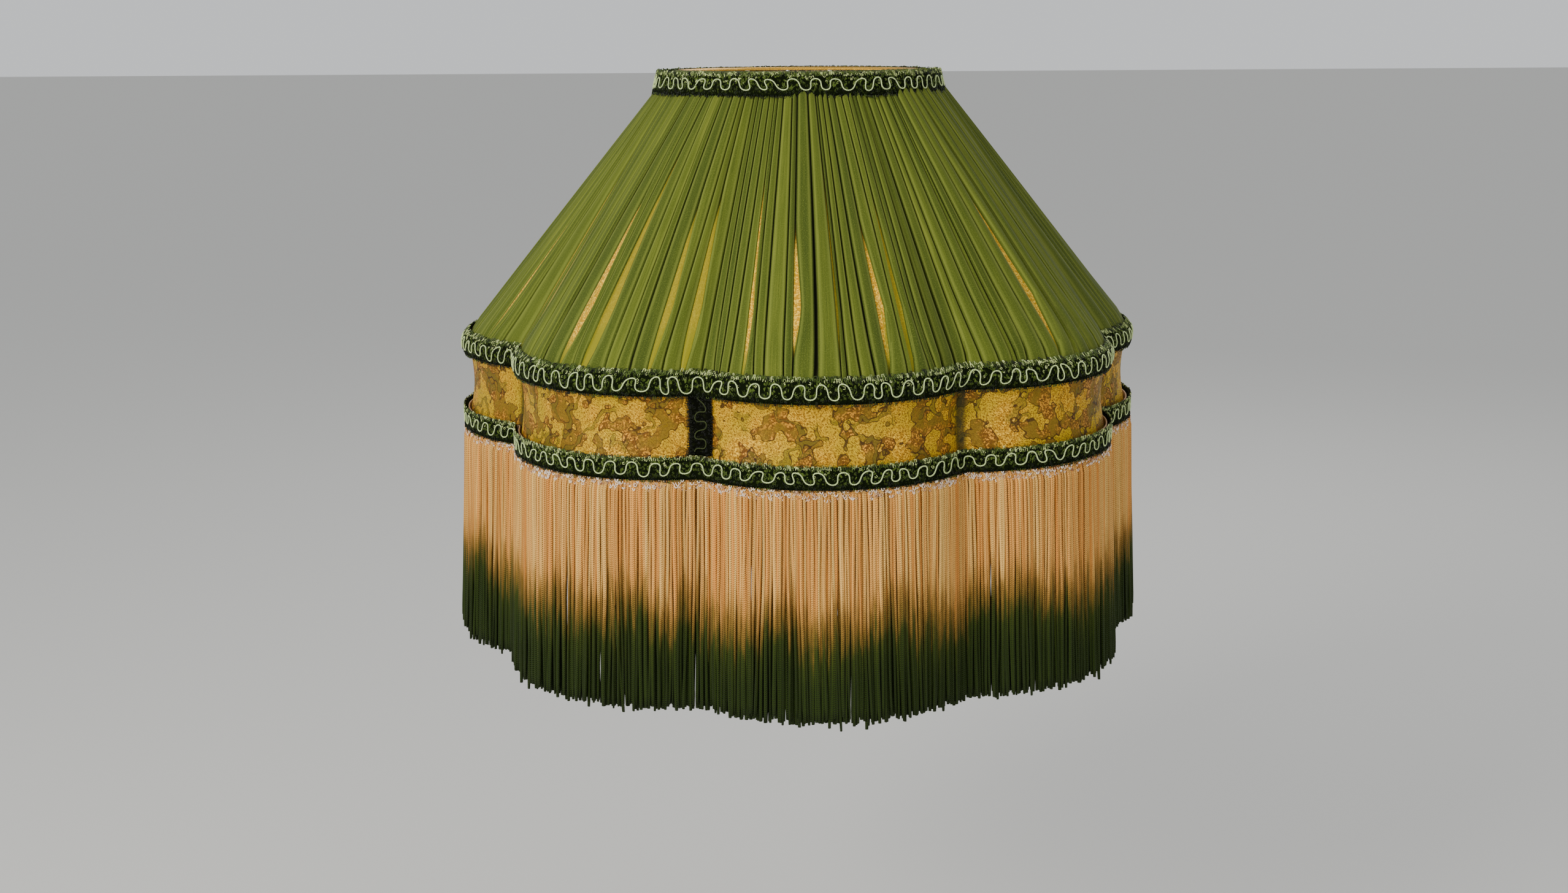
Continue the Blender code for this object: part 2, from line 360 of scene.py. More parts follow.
def piece(name, part, finish, replaced=(), thickness=0.0):
    """A part as a named piece that rides on the frame, in place of the replaced CAD nodes.
    A thickness gives an open sheet its inner side."""
    points, faces, uv, marks = part
    mesh = bpy.data.meshes.new(name)
    mesh.from_pydata(points.tolist(), [], faces.tolist())
    mesh.polygons.foreach_set("use_smooth", np.ones(len(faces), bool))
    mesh.uv_layers.new(name="weave").data.foreach_set("uv", uv.ravel())
    for mark, values in marks.items():
        mesh.attributes.new(mark, "FLOAT", "POINT").data.foreach_set("value", values)
    mesh.materials.append(finish)
    made = add_object(name, mesh)
    if thickness:
        wall = made.modifiers.new("cloth", "SOLIDIFY")
        wall.thickness = thickness
        wall.offset = -1
    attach(made, "root")
    if replaced:
        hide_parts(*replaced)
    return made


def noise(rng, count, waves):
    """A smooth random line of count values, about -1 to 1, that closes on itself."""
    at = np.arange(count) / count * TURN
    total = np.zeros(count)
    for wave in waves:
        total += rng.normal() * np.cos(wave * at + rng.uniform(0, TURN))
    return total / math.sqrt(len(waves))


# ---------------- materials


def srgb(red, green, blue):
    """A colour given in 8-bit screen values, in linear light."""
    parts = [c / 255 for c in (red, green, blue)]
    return (*[c / 12.92 if c < 0.04 else ((c + 0.055) / 1.055) ** 2.4 for c in parts], 1.0)


class Finish:
    """A material that is being put together. Each call adds a node and gives its output."""

    def __init__(self, name, roughness=0.8, metallic=0.0, sheen=0.0, shine=0.5):
        self.material = bpy.data.materials.new(name)
        self.material.use_nodes = True
        self.tree = self.material.node_tree
        self.shader = self.tree.nodes["Principled BSDF"]
        self.set("Roughness", roughness)
        self.set("Metallic", metallic)
        self.set("Sheen Weight", sheen)
        self.set("Specular IOR Level", shine)

    def feed(self, socket, value):
        if isinstance(value, bpy.types.NodeSocket):
            self.tree.links.new(value, socket)
        else:
            socket.default_value = value

    def set(self, name, value):
        self.feed(self.shader.inputs[name], value)

    def add(self, kind, inputs, output=0, **settings):
        node = self.tree.nodes.new("ShaderNode" + kind)
        for key, value in settings.items():
            setattr(node, key, value)
        for key, value in inputs.items():
            self.feed(node.inputs[key], value)
        return node.outputs[output]

    def math(self, operation, *values):
        return self.add("Math", dict(enumerate(values)), operation=operation)

    def plus(self, first, second):
        return self.math("ADD", first, second)

    def minus(self, first, second):
        return self.math("SUBTRACT", first, second)

    def times(self, first, second):
        return self.math("MULTIPLY", first, second)

    def apart(self, first, second):
        return self.math("ABSOLUTE", self.minus(first, second))

    def vector(self, operation, *values):
        return self.add("VectorMath", dict(enumerate(values)), operation=operation)

    def mix(self, share, first, second):
        """A colour, share of the way from the first to the second."""
        return self.add("Mix", {0: share, 6: first, 7: second}, 2, data_type="RGBA")

    def ramp(self, value, low, high, start=0.0, end=1.0):
        """value as it goes smoothly from start, at low, to end, at high."""
        inputs = {"Value": value, 1: low, 2: high, 3: start, 4: end}
        return self.add("MapRange", inputs, interpolation_type="SMOOTHSTEP")

    def mark(self, name):
        return self.add("Attribute", {}, "Fac", attribute_name=name)

    def cloth(self):
        """The place in the cloth: across it and along it, in metres."""
        return self.add("UVMap", {}, uv_map="weave")

    def place(self):
        return self.add("TexCoord", {}, "Object")

    def axis(self, vector, name):
        return self.add("SeparateXYZ", {0: vector}, name)

    def scaled(self, vector, *scale):
        return self.vector("MULTIPLY", vector, scale)

    def noise(self, vector, scale, detail=2.0, roughness=0.5):
        inputs = {"Vector": vector, "Scale": scale, "Detail": detail, "Roughness": roughness}
        return self.add("TexNoise", inputs, "Fac")

    def cells(self, vector, scale, output="Distance", feature="F1"):
        return self.add("TexVoronoi", {"Vector": vector, "Scale": scale}, output, feature=feature)

    def flecks(self, vector, scale):
        """A random value for each small cell of the cloth."""
        return self.axis(self.cells(vector, scale, "Color"), "X")

    def bump(self, height, depth, strength=1.0):
        inputs = {"Height": height, "Distance": depth, "Strength": strength}
        self.set("Normal", self.add("Bump", inputs))

    def colour(self, value):
        self.set("Base Color", value)
        return self.material


def coated_steel():
    f = Finish("cream_coated_steel", metallic=0.25)
    blotch = f.noise(f.place(), 60, 4)
    f.set("Roughness", f.ramp(f.noise(f.place(), 300), 0.3, 0.7, 0.35, 0.6))
    f.bump(f.noise(f.place(), 900, 3), 0.1 * MM, 0.4)
    return f.colour(f.mix(blotch, srgb(196, 190, 172), srgb(158, 149, 128)))


def fitter_steel():
    f = Finish("fitter_steel", metallic=0.9)
    grain = f.noise(f.scaled(f.place(), 60, 60, 900), 12, 3)
    f.set("Roughness", f.ramp(grain, 0.3, 0.7, 0.28, 0.5))
    f.bump(grain, 0.05 * MM, 0.3)
    worn = f.ramp(f.noise(f.place(), 120, 5), 0.5, 0.75)
    return f.colour(f.mix(worn, srgb(190, 188, 182), srgb(140, 132, 118)))


def binding_tape():
    f = Finish("cotton_binding", 0.9, sheen=0.2)
    threads = f.noise(f.scaled(f.cloth(), 2600, 900, 1), 1, 2)
    f.bump(threads, 0.12 * MM, 0.6)
    shade = f.noise(f.place(), 70, 3)
    return f.colour(f.mix(shade, srgb(176, 160, 118), srgb(140, 124, 84)))


def glitter(f, cloth, scale):
    """A pebbled, glittering height: small random facets."""
    facets = f.flecks(cloth, scale)
    return f.plus(f.times(facets, 0.7), f.noise(cloth, scale * 1.7, 3))


def gold_cloth():
    f = Finish("gold_lame", 0.36, metallic=0.85)
    cloth = f.cloth()
    facets = glitter(f, cloth, 1100)
    ribs = f.noise(f.scaled(cloth, 900, 90, 1), 1, 2)
    f.bump(f.plus(facets, ribs), 0.22 * MM, 0.9)
    f.set("Roughness", f.ramp(f.noise(cloth, 700), 0.3, 0.7, 0.26, 0.5))
    warm = f.mix(f.noise(f.place(), 35, 3), srgb(214, 168, 62), srgb(180, 132, 36))
    return f.colour(warm)


def moss_chiffon():
    """Sheer pleated chiffon: faces of doubled cloth with a painted highlight along their fold
    edges, painted shade in the folds between them, and open valleys of one sheer layer that
    lets the gold lining shine through."""
    f = Finish("moss_chiffon", 0.8, sheen=0.03, shine=0.12)
    cloth = f.cloth()
    streaks = f.noise(f.scaled(cloth, 1500, 38, 1), 1, 3, 0.6)
    grain = f.noise(f.scaled(cloth, 2300, 1500, 1), 1, 2)
    drift = f.noise(f.scaled(cloth, 60, 14, 1), 1, 2)
    tone = f.plus(f.times(streaks, 0.7), f.times(f.mark("tone"), 0.3))
    tone = f.plus(tone, f.times(f.minus(drift, 0.5), 0.4))
    green = f.mix(f.ramp(tone, 0.15, 0.85), srgb(50, 63, 12), srgb(82, 92, 24))
    green = f.mix(f.ramp(tone, 0.6, 1.0), green, srgb(105, 111, 38))
    green = f.mix(f.ramp(grain, 0.45, 0.85, 0.0, 0.6), green, srgb(114, 122, 50))
    # Painted highlight: lighter green along each face's fold edges, from the mark fold.
    green = f.mix(f.times(f.mark("fold"), 0.35), green, srgb(134, 142, 60))
    sheer, deep = f.mark("sheer"), f.mark("deep")
    # Painted shade: the mark deep darkens the green to near black down in the folds and valleys.
    green_with_painted_shade = f.mix(f.times(deep, 0.96), green, srgb(14, 14, 2))
    flecks = f.flecks(cloth, 1500)
    gold = f.mix(f.ramp(flecks, 0.3, 0.85), srgb(184, 132, 8), srgb(244, 198, 66))
    thread = f.ramp(f.noise(f.scaled(cloth, 700, 25, 1), 1, 2), 0.48, 0.7)
    veil = f.math("MAXIMUM", thread, f.ramp(f.mark("veil"), 0.0, 1.0))
    gold = f.mix(veil, gold, srgb(134, 128, 26))
    height = f.plus(f.times(streaks, 0.6), f.times(grain, 0.5))
    height = f.plus(height, f.times(f.times(flecks, sheer), 1.6))
    f.bump(height, 0.14 * MM, 0.8)
    f.set("Metallic", f.times(sheer, 0.15))
    f.set("Roughness", f.ramp(sheer, 0.0, 1.0, 0.8, 0.4))
    return f.colour(f.mix(sheer, green_with_painted_shade, gold))


def motif(f, cloth, scale, seed):
    """A slow random height over the cloth with small rounded bumps on it, so that its
    contours run in lobes, as the edges of lace flowers do."""
    moved = f.vector("ADD", cloth, (seed, seed * 0.37, 0))
    slow = f.noise(moved, scale, 2, 0.55)
    bumps = f.cells(moved, scale * 4.5, "Distance", feature="SMOOTH_F1")
    return f.minus(slow, f.times(bumps, 0.12))


def lace_over_gold():
    """Fine dark net with brown flowers and olive scrolls, stretched over gold cloth."""
    f = Finish("floral_lace", 0.5, shine=0.2)
    cloth = f.cloth()
    flowers = motif(f, cloth, 58, 0.4)
    leaves = motif(f, cloth, 44, 7.7)
    patches = motif(f, cloth, 24, 3.1)
    brown = f.ramp(flowers, 0.455, 0.475)
    scroll = f.apart(leaves, 0.455)
    arc = f.times(f.ramp(scroll, 0.02, 0.034, 1.0, 0.0), f.ramp(patches, 0.42, 0.45))
    rim = f.ramp(f.apart(flowers, 0.462), 0.004, 0.011, 1.0, 0.0)
    stem = f.ramp(f.apart(scroll, 0.027), 0.002, 0.007, 1.0, 0.0)
    stem = f.times(stem, f.ramp(patches, 0.4, 0.44))
    slant = f.add("Mapping", {"Vector": cloth, "Rotation": (0, 0, 0.9)})
    dashes = f.noise(f.scaled(slant, 1900, 800, 1), 1, 2, 0.6)
    flecks = f.flecks(cloth, 1300)
    gold = f.mix(f.ramp(flecks, 0.1, 0.95), srgb(170, 118, 4), srgb(236, 184, 40))
    gold = f.mix(f.ramp(f.noise(cloth, 42, 2), 0.35, 0.65), gold, srgb(184, 152, 8))
    netted = f.mix(f.ramp(dashes, 0.46, 0.62, 0.0, 0.9), gold, srgb(96, 58, 4))
    rust = f.mix(f.ramp(flecks, 0.55, 0.9), srgb(88, 48, 5), srgb(206, 140, 44))
    rust = f.mix(f.ramp(f.noise(cloth, 90, 2), 0.4, 0.6), rust, srgb(104, 80, 12))
    covered = f.mix(f.times(brown, 0.84), netted, rust)
    covered = f.mix(f.times(arc, 0.62), covered, srgb(92, 82, 16))
    covered = f.mix(f.times(f.math("MAXIMUM", rim, stem), 0.88), covered, srgb(52, 28, 4))
    # Painted shadow of the ribs: a dark soft stripe down the lace at each cusp.
    covered = f.mix(f.times(f.mark("strut"), 0.85), covered, srgb(38, 38, 8))
    height = f.plus(f.times(flecks, 0.9), f.times(dashes, -0.9))
    height = f.plus(height, f.times(brown, 0.8))
    f.bump(height, 0.22 * MM, 0.9)
    f.set("Metallic", f.ramp(flecks, 0.5, 0.9, 0.05, 0.35))
    f.set("Roughness", f.ramp(flecks, 0.3, 0.9, 0.7, 0.4))
    return f.colour(covered)


def gimp_ground(name, dark, light):
    f = Finish(name, 0.95, shine=0.05)
    cloth = f.cloth()
    knots = f.cells(cloth, 900, "Distance")
    specks = f.flecks(cloth, 1200)
    # Painted shade: the pale specks fade out towards the braid's lower edge, which is left dark.
    upper = f.ramp(f.axis(cloth, "Y"), 1.5 * MM, 7 * MM)
    f.bump(f.minus(1.0, knots), 0.5 * MM, 1.0)
    return f.colour(f.mix(f.times(f.ramp(specks, 0.68, 0.95), upper), dark, light))


def gimp_yarn(name, dark, middle_tone, light, gloss=0.55):
    """Rayon yarn whose tone mark runs from the dark to the light colour."""
    f = Finish(name, gloss, sheen=0.05, shine=0.18)
    cloth = f.cloth()
    lay = f.times(f.axis(cloth, "Y"), TURN / YARN_TWIST)
    strands = f.math("SINE", f.plus(lay, f.times(f.axis(cloth, "X"), TURN)))
    f.bump(strands, 0.12 * MM, 0.8)
    tone = f.mark("tone")
    body = f.mix(f.ramp(tone, 0.0, 0.5), dark, middle_tone)
    body = f.mix(f.ramp(tone, 0.5, 1.0), body, light)
    # Painted shade: the grooves between the twisted plies are darkened.
    return f.colour(f.mix(f.ramp(strands, -1.0, 0.2, 0.35, 0.0), body, dark))


def heading_tape():
    f = Finish("woven_heading", 0.85, sheen=0.15)
    cloth = f.cloth()
    picks = f.math("SINE", f.times(f.axis(cloth, "X"), TURN / TAPE_PICK))
    ends = f.math("SINE", f.times(f.axis(cloth, "Y"), TURN / TAPE_END))
    weave = f.times(picks, ends)
    f.bump(weave, 0.2 * MM, 0.8)
    return f.colour(f.mix(f.ramp(weave, -1, 1), srgb(168, 118, 72), srgb(222, 184, 136)))


def ombre_chainette():
    """Knitted chainette dyed from peach to dark green, each strand a little differently."""
    f = Finish("ombre_chainette", 0.7, sheen=0.02, shine=0.12)
    cloth = f.cloth()
    around, run = f.axis(cloth, "X"), f.axis(cloth, "Y")
    from_middle = f.apart(f.math("FRACT", f.times(around, 2)), 0.5)
    rise = f.times(from_middle, 1.5)
    phase = f.plus(f.math("DIVIDE", run, KNIT_PITCH), rise)
    rib = f.math("SINE", f.times(phase, TURN))
    groove = f.ramp(from_middle, 0.02, 0.14, 0.0, 1.0)
    knit = f.times(f.plus(rib, 0.4), groove)
    f.bump(knit, 0.4 * MM, 1.0)
    fall = f.math("DIVIDE", run, FRINGE_LENGTH)
    blot = f.noise(f.scaled(f.place(), 420, 420, 60), 1, 3, 0.6)
    dye = f.plus(fall, f.times(f.minus(blot, 0.5), 0.2))
    dye = f.plus(dye, f.times(f.minus(f.mark("dye"), 0.5), 0.12))
    wash = f.noise(f.scaled(f.place(), 55, 55, 9), 1, 2)
    dye = f.plus(dye, f.times(f.minus(wash, 0.5), 0.3))
    peach = f.mix(f.mark("tone"), srgb(240, 158, 70), srgb(255, 204, 112))
    rust = f.mix(f.ramp(dye, 0.38, 0.56), peach, srgb(176, 128, 56))
    green = f.mix(f.ramp(dye, 0.46, 0.7), rust, srgb(56, 70, 12))
    deep = f.mix(f.ramp(dye, 0.6, 0.85), green, srgb(36, 54, 6))
    # Painted shade: the knit's grooves and the gap between a strand's two columns are darkened
    # towards near black brown.
    dark = f.mix(0.55, deep, srgb(34, 15, 2))
    return f.colour(f.mix(f.ramp(knit, -0.6, 0.5, 0.75, 0.0), deep, dark))


def floor_finish():
    f = Finish("pale_floor", 0.9)
    return f.colour(srgb(196, 195, 191))


# ---------------- pieces


def dress_frame():
    """Materials for the CAD's own wires and fitter."""
    wire, fitter = coated_steel(), fitter_steel()
    for name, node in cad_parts.items():
        is_wire = name.startswith("rib_") or name in ("top_ring", "upper_ring", "lower_ring")
        if is_wire or name.startswith("fitter_"):
            node.data.materials.clear()
            node.data.materials.append(wire if is_wire else fitter)


def make_bindings():
    """Cotton tape wound round each ring, each turn lapping the one before."""
    tape = binding_tape()
    rings = (
        ("top_binding", "top_ring", circle(TOP_RADIUS), TOP_Z),
        ("upper_binding", "upper_ring", scallop, UPPER_Z),
        ("lower_binding", "lower_ring", scallop, LOWER_Z),
    )
    low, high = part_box("top_ring_tape")
    reach = (high.z - low.z) / 2 - BINDING_STEP
    for name, ring, outline, height in rings:
        angle_at, length = along(outline, 0.0)
        turns = round(length / BINDING_PITCH)
        steps = turns * BINDING_TURN_STEPS
        run = np.arange(steps) / steps * length
        angle = angle_at(run)[:, None]
        around = -np.arange(BINDING_SIDES) / BINDING_SIDES * TURN
        lap = (np.arange(steps)[:, None] / BINDING_TURN_STEPS - around / TURN) % 1
        section = reach + BINDING_STEP * lap
        radius = outline(angle) + section * np.cos(around)
        points = polar(radius, angle, height + section * np.sin(around))
        faces, corners = lattice(points, wrap=True, ring=True)
        uv = np.stack([corners[..., 1] * reach, corners[..., 0] * length / steps], -1)
        part = (points.reshape(-1, 3), faces, uv, {})
        piece(name, part, tape, [f"{ring}_tape"])


def cone_points(angle, share, offset, lift=0.0):
    """Places on a layer of the cone, share of the way down it, lifted off it by lift."""
    radius = TOP_RADIUS * (1 - share) + scallop(angle) * share + offset
    radius = radius + lift * CONE_HEIGHT / CONE_SLANT
    height = TOP_Z - share * CONE_HEIGHT + lift * CONE_SPREAD / CONE_SLANT
    return polar(radius, angle, height)


def down_cloth(share, fold, step):
    """Distances down a cloth on the cone that starts with a fold over the top ring."""
    return np.append(np.arange(len(fold)), len(fold) + share * CONE_SLANT / step) * step


def make_lining():
    """Gold cloth stretched over the cone, and its finish."""
    rng = np.random.default_rng(LINING_SEED)
    columns = LOBES * LINING_COLUMNS
    angle, u = columns_round(columns, TURN * LOBE_RADIUS)
    share = np.linspace(0, CONE_END, LINING_ROWS)
    pucker = noise(rng, columns, range(70, 190, 7))[:, None] * PUCKER
    cone = cone_points(angle, share, LINING_OUT, pucker * np.sin(share * math.pi))
    fold_turns = np.radians(LINING_FOLD)
    reach = LINING_OUT * CONE_HEIGHT / CONE_SLANT
    over = polar(TOP_RADIUS + reach * np.cos(fold_turns), angle, TOP_Z + reach * np.sin(fold_turns))
    points = np.concatenate([over, cone], axis=1)
    v = down_cloth(share, LINING_FOLD, LINING_FOLD_STEP)
    part = sheet_part(points, u, v, wrap=True)
    finish = gold_cloth()
    made = piece("gold_lining_cloth", part, finish, ["gold_lining"], CLOTH)
    return finish


def pleat_borders(rng, share):
    """Where each pleat begins, as angles down the slope, and after the last one the first
    one's again."""
    spreads = (0.08, 0.26, 0.1, 0.16)
    start, end, bow, curl = (rng.normal(0, spread, (PLEATS, 1)) for spread in spreads)
    drift = start + (end - start) * share + bow * np.sin(share * math.pi)
    near_hem = unit((share - 0.82) / 0.18)
    drift = drift + curl * near_hem**2
    width = rng.uniform(0.45, 1.6, (PLEATS, 1)) + np.roll(drift, -1, axis=0) - drift
    borders = np.cumsum(np.clip(width, 0.35, None), axis=0)
    borders = np.append(np.zeros((1, len(share))), borders, axis=0)
    return SEAM_ANGLE + borders / borders[-1] * TURN


def valley(rng, share, facing, tightness):
    """A pleat's valley: its width in pitches, how much of the gold lining shows in it, and
    how much of that a veil of cloth covers. Facing is 1 in front. Some open lower down."""
    narrow = 0.02 + (0.02 + 0.2 * tightness**2 * rng.random() ** 1.5) * unit(share * 1.3)
    if rng.random() >= (OPEN_IN_FRONT if facing > 0.93 else OPEN_ELSEWHERE):
        return narrow, 0 * share, 0 * share
    begins, ends = rng.uniform(0.25, 0.5), rng.uniform(0.88, 1.04)
    opening = unit((share - begins) / (0.8 - begins))
    opening = opening * unit((ends - share) / 0.16)
    is_veiled = rng.random() < (VEILED_IN_FRONT if facing > 0.96 else VEILED_ELSEWHERE)
    near_hem = unit((share - 0.84) / 0.1)
    veil = unit(VEIL * is_veiled + near_hem)
    return 0.03 + rng.uniform(0.3, 0.58) * opening, unit(opening * 3), veil


def creased_face(rng, share):
    """Soft creases down a pleat's face, as depths of the pleat's height."""
    creases = np.zeros((PLEAT_COLUMNS, len(share)))
    for _ in range(rng.integers(0, 3)):
        column = FACE_FIRST + rng.integers(1, len(PLEAT_FACE) - 1)
        begins, ends = rng.uniform(-0.2, 0.7), rng.uniform(0.8, 1.3)
        fade = unit((share - begins) * 4) * unit((ends - share) * 4)
        creases[column] = rng.uniform(0.06, 0.28) * fade
    return creases


def pleat(rng, share, borders, tightness):
    """One pleat: its places' angles, their lift off the cone, and its marks."""
    facing, outer_side = -math.sin(borders[0, 0]), math.cos(borders[0, 0])
    gap, sheer, veil = valley(rng, share, facing, tightness)
    side = 0.05 + 0.05 * (1 - share)
    breadth = 1 - gap - 2 * side
    across = [0 * gap, gap * 0.5, gap]
    across += [gap + side * rise for rise in PLEAT_RISE]
    across += [gap + side + breadth * x for x in PLEAT_FACE]
    across += [1 - side * rise for rise in PLEAT_RISE[::-1]]
    across = np.array(across)
    level = np.array([0, 0.03, 0, *PLEAT_LEVEL, *[1.0] * len(PLEAT_FACE), *PLEAT_LEVEL[::-1]])
    level = np.maximum(level[:, None], 0.62 * sheer)
    from_middle = (across - gap - side) / breadth * 2 - 1
    crown = rng.uniform(0.08, 0.4)
    tilt = 0.22 * np.sign(outer_side) * min(1, abs(outer_side) * 3) + rng.normal(0, 0.12)
    shape = level * (1 - crown * unit(np.abs(from_middle)) ** 2 + tilt * from_middle / 2)
    shape = np.clip(shape - creased_face(rng, share), 0, 2)
    height = PLEAT_HEIGHT * rng.uniform(0.75, 1.1) * (0.45 + 0.55 * tightness)
    height = height * (1 + 0.1 * np.sin(share * 4 + rng.uniform(0, TURN)))
    height = height * (0.22 + 0.78 * unit((1 - share) / 0.07) ** 0.7)
    drift = np.sin(share * rng.uniform(4, 9) + rng.uniform(0, TURN))
    # Painted shade for the valleys: darker where the pleats are tight, which is mostly on the right,
    # and lighter in open valleys. The mark deep carries it.
    shadow = np.clip(0.35 + 0.65 * tightness + 0.25 * drift, 0.15, 1)
    shadow = shadow * np.where(sheer > 0.3, 0.35, 1)
    column = np.arange(PLEAT_COLUMNS)[:, None]
    in_valley = column < VALLEY_COLUMNS
    # A painted highlight along the two fold edges of each face.
    painted_fold_highlight = (column == FACE_FIRST) | (column == FACE_LAST)
    marks = {
        "sheer": in_valley * sheer,
        "veil": in_valley * veil,
        # deep is painted shade, darkest low in the valleys
        "deep": unit(1.15 - level * 1.5) * shadow,
        "fold": painted_fold_highlight + 0 * share,
        "tone": np.full(across.shape, rng.random()),
    }
    angle = borders[0] + (borders[1] - borders[0]) * across
    return angle, PLEAT_BASE + height * shape, marks


def make_cover():
    """Pleats that fan out from the top ring as deep folds, as one closed sheet: over the
    ring, down the outside, and up the inside on fewer rows."""
    rng = np.random.default_rng(COVER_SEED)
    even = np.linspace(0, 1, PLEAT_ROWS)
    share = 0.6 * (1 - np.cos(even * math.pi)) / 2 + 0.4 * even
    borders = pleat_borders(rng, share)
    to_right = np.cos(borders[:-1, 0])
    tightness = 0.65 + 0.4 * to_right + 0.4 * noise(rng, PLEATS, range(3, 16, 2))
    tightness = np.clip(tightness, 0.05, 1.15)
    pleats = [pleat(rng, share, borders[k : k + 2], tightness[k]) for k in range(PLEATS)]
    angle = np.concatenate([made[0] for made in pleats])
    lift = np.concatenate([made[1] for made in pleats])
    down = share * CONE_END
    cone = cone_points(angle, down, COVER_IN, lift)
    fold_turns = np.radians(PLEAT_FOLD)
    bunch = lift[:, :1] * 0.6
    over = polar(
        TOP_RADIUS + (COVER_IN + bunch) * np.cos(fold_turns),
        angle[:, :1],
        TOP_Z + (COVER_IN * 0.72 + bunch * 0.3) * np.sin(fold_turns),
    )
    back = list(PLEAT_BACK_ROWS)
    inner_wall = cone_points(angle[:, back], down[back], COVER_IN, lift[:, back] - CLOTH)
    points = np.concatenate([over, cone, inner_wall], axis=1)
    reference = cone[:, 3 * PLEAT_ROWS // 4]
    step = np.linalg.norm(np.roll(reference, -1, axis=0) - reference, axis=1)
    u = np.append(0, np.cumsum(step))[:, None]
    v = down_cloth(share, PLEAT_FOLD, PLEAT_FOLD_STEP)
    v = np.append(v, np.append(v[len(PLEAT_FOLD) :][back], 0))
    rows = [0, 0, *range(PLEAT_ROWS), *back]
    marks = {
        name: np.concatenate([made[2][name] for made in pleats])[:, rows] for name in pleats[0][2]
    }
    part = sheet_part(points, u, v, wrap=True, ring=True, marks=marks)
    made = piece("cover_pleats", part, moss_chiffon(), ["pleated_cover"])


def waist(height):
    """How far the collar is drawn in at a height between its two rings."""
    share = unit((UPPER_Z - height) / (UPPER_Z - LOWER_Z))
    return COLLAR_WAIST * np.sin(share * math.pi)


def band_points(angle, share, offset, low, high):
    """Places on an upright layer, drawn in at its waist."""
    height = high + (low - high) * share
    return polar(scallop(angle) + offset - waist(height), angle, height)


def make_collar(gold):
    """The collar's gold cloth and the lace over it, which its trimmings are sewn to."""
    length = along(scallop, LACE_OUT)[1]
    angle, u = columns_round(LOBES * COLLAR_COLUMNS, length)
    share = np.linspace(0, 1, COLLAR_ROWS)
    top, low = UPPER_Z - LAYER_GAP, HEM_Z
    v = share * (top - low)
    inner = sheet_part(band_points(angle, share, COLLAR_OUT, low, top), u, v, wrap=True)
    cloth = piece("collar_gold_cloth", inner, gold, ["collar_lining"], CLOTH)
    flat = (length, top - low)
    held = {"held": "stretched", "rests_on": ["upper_binding", "lower_binding"]}
    half = math.pi / LOBES
    # The ribs' painted shadow on the lace, strongest at each cusp.
    from_cusp = np.abs((angle - SEAM_ANGLE + half) % (2 * half) - half) * CUSP_RADIUS
    marks = {"strut": unit((RIB_SHADOW - from_cusp) / RIB_SHADOW_EDGE)}
    places = band_points(angle, share, LACE_OUT, low, top)
    outer = sheet_part(places, u, v, wrap=True, marks=marks)
    lace = piece("collar_lace_cloth", outer, lace_over_gold(), ["lace_collar"], CLOTH)
    return lace, flat, held


